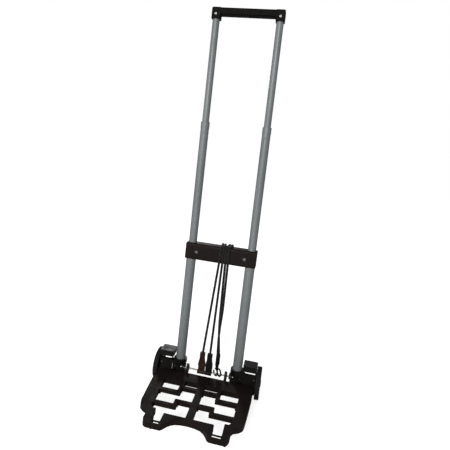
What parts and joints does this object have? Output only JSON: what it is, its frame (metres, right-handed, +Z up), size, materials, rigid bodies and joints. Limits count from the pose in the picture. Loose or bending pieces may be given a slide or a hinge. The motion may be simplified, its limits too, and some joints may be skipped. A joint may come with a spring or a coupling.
{
  "type": "folding hand truck",
  "caption": "Folding luggage cart with a telescoping twin-tube handle, a hinged lattice foot plate, swing-out wheels and elastic cords looped over the crossbar.",
  "frame": {"origin": "on the floor, midway between the wheels across the cart and midway between the front of the foot plate and the back of the tyres", "axes": "+Z up along the handle tubes, -Y towards the foot plate, +X to the right as seen from the front"},
  "size_m": [0.2766, 0.2754, 0.9388],
  "materials": {
    "tube_paint": "satin grey paint",
    "inner_plastic": "moulded black",
    "bar_plastic": "brown-black moulding",
    "grip_plastic": "fine-textured black",
    "bright_rivet": "bright",
    "dull_steel": "dull zinc",
    "arm_plastic": "black moulding",
    "rod_steel": "plain drawn steel",
    "plate_plastic": "brown-black moulding",
    "pad_rubber": "matte",
    "tyre_rubber": "matte",
    "hub_plastic": "moulded black",
    "cord_sleeve": "braided black sleeve",
    "hook_brown": "dark red-brown moulding",
    "hook_black": "coated black"
  },
  "bodies": {
    "frame": {"lower_tube_left": "tube_paint", "lower_tube_right": "tube_paint", "lower_bushings": "inner_plastic", "crossbar_front": "bar_plastic", "crossbar_rear": "bar_plastic", "crossbar_rivets": "dull_steel", "hinge_bracket_left": "arm_plastic", "hinge_bracket_right": "arm_plastic", "bracket_screws": "dull_steel", "hinge_rod": "rod_steel", "rod_caps": "rod_steel", "tube_end_caps": "inner_plastic", "bungee_cord_a": "cord_sleeve", "bungee_cord_b": "cord_sleeve", "flat_hook_a": "hook_brown", "flat_hook_b": "hook_black", "ring_hook_a": "hook_black", "ring_hook_b": "hook_black"},
    "middle_section": {"middle_tube_left": "tube_paint", "middle_tube_right": "tube_paint", "middle_bushings": "inner_plastic", "middle_guides": "inner_plastic"},
    "handle_section": {"upper_tube_left": "tube_paint", "upper_tube_right": "tube_paint", "handle_grip": "grip_plastic", "handle_rivets": "bright_rivet", "upper_guides": "inner_plastic"},
    "plate": {"foot_plate": "plate_plastic", "foot_pads": "pad_rubber"},
    "arm_left": {"wheel_arm_left": "arm_plastic", "arm_screw_left": "dull_steel", "axle_left": "rod_steel", "push_nut_left": "rod_steel"},
    "wheel_left": {"tyre_left": "tyre_rubber", "wheel_hub_left": "hub_plastic", "hub_cap_left": "hub_plastic"},
    "arm_right": {"wheel_arm_right": "arm_plastic", "arm_screw_right": "dull_steel", "axle_right": "rod_steel", "push_nut_right": "rod_steel"},
    "wheel_right": {"tyre_right": "tyre_rubber", "wheel_hub_right": "hub_plastic", "hub_cap_right": "hub_plastic"}
  },
  "joints": [
    {"name": "middle_slide", "type": "slide", "parent": "frame", "child": "middle_section", "axis": [0, 0, 1], "range_m": [-0.283, 0]},
    {"name": "handle_slide", "type": "slide", "parent": "middle_section", "child": "handle_section", "axis": [0, 0, 1], "range_m": [-0.232, 0]},
    {"name": "plate_fold", "type": "hinge", "parent": "frame", "child": "plate", "pos_m": [0, 0.08075, 0.05055], "axis": [-1, 0, 0], "range_deg": [0, 90]},
    {"name": "wheel_arm_right", "type": "hinge", "parent": "frame", "child": "arm_right", "pos_m": [0.075, 0.09875, 0.03725], "axis": [0, 0, 1], "range_deg": [0, 90]},
    {"name": "wheel_arm_left", "type": "hinge", "parent": "frame", "child": "arm_left", "pos_m": [-0.075, 0.09875, 0.03725], "axis": [0, 0, -1], "range_deg": [0, 90]},
    {"name": "wheel_spin_right", "type": "hinge", "parent": "arm_right", "child": "wheel_right", "pos_m": [0.1313, 0.098, 0.03975], "axis": [1, 0, 0], "continuous": true},
    {"name": "wheel_spin_left", "type": "hinge", "parent": "arm_left", "child": "wheel_left", "pos_m": [-0.1313, 0.098, 0.03975], "axis": [1, 0, 0], "continuous": true}
  ],
  "couplings": [
    {"joint": "wheel_arm_right", "follows": "plate_fold", "ratio": 1},
    {"joint": "wheel_arm_left", "follows": "plate_fold", "ratio": 1}
  ]
}
